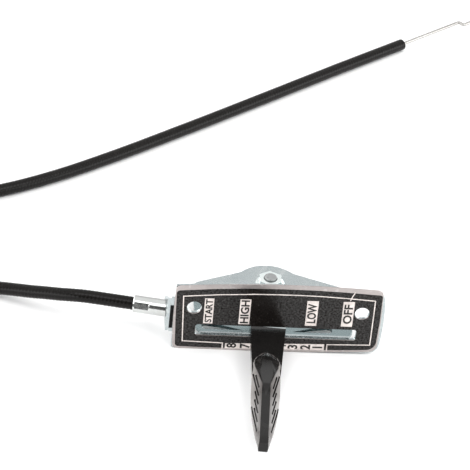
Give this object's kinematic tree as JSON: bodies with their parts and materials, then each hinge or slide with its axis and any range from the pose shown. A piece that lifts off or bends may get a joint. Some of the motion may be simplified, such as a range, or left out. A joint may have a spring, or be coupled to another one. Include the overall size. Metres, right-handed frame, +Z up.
{
  "type": "throttle cable",
  "caption": "Hand throttle lever in a slotted panel housing, with a black wire-in-conduit cable that ends in a Z-bent wire.",
  "frame": {"origin": "middle of the control's outline without the cord, on the surface it stands on", "axes": "+Z up, the printed face and the grip towards -Y, the cable leaves towards -X"},
  "size_m": [0.3492, 0.3887, 0.0374],
  "materials": {
    "housing": "bluish zinc plating",
    "label_plate": "glossy black print with a bare silver border",
    "lever_blade": "zinc plating",
    "grip": "moulded black, lightly glossy",
    "pivot_bolt": "zinc plating",
    "pivot_nut": "zinc plating",
    "friction_washer": "brown fibre",
    "spring_washer": "spring steel",
    "flat_washer": "zinc plating",
    "ferrule": "bright turned steel",
    "conduit": "black vinyl jacket",
    "liner": "steel spiral",
    "tie": "black nylon",
    "wire": "bright steel wire"
  },
  "bodies": {
    "control": {"housing": "housing", "label_plate": "label_plate", "pivot_bolt": "pivot_bolt", "pivot_nut": "pivot_nut", "friction_washer": "friction_washer", "spring_washer": "spring_washer", "flat_washer": "flat_washer", "ferrule": "ferrule", "entry_jacket": "conduit", "entry_liner": "liner", "conduit_near_run": "conduit", "conduit_coil": "conduit", "coil_tie_a": "tie", "coil_tie_b": "tie", "conduit_far_run": "conduit", "engine_end_jacket": "conduit", "engine_end_liner": "liner"},
    "lever": {"lever_blade": "lever_blade", "grip": "grip", "wire_hook": "wire"},
    "lever_wire": {"wire_lever_end": "wire"},
    "engine_wire": {"wire_engine_end": "wire"}
  },
  "joints": [
    {"name": "lever_swing", "type": "hinge", "parent": "control", "child": "lever", "pos_m": [0.00075, 0.04977, 0.0103], "axis": [0, 0, 1], "range_deg": [-28.4, 39.6]},
    {"name": "lever_wire_slide", "type": "slide", "parent": "control", "child": "lever_wire", "axis": [0.9829, -0.184, 0], "range_m": [-0.0125, 0.0174]},
    {"name": "engine_wire_slide", "type": "slide", "parent": "control", "child": "engine_wire", "axis": [0.7891, 0.6143, 0], "range_m": [-0.0174, 0.0125]}
  ],
  "couplings": [
    {"joint": "lever_wire_slide", "follows": "lever_swing", "m_per_rad": 0.025},
    {"joint": "engine_wire_slide", "follows": "lever_swing", "m_per_rad": -0.025}
  ]
}
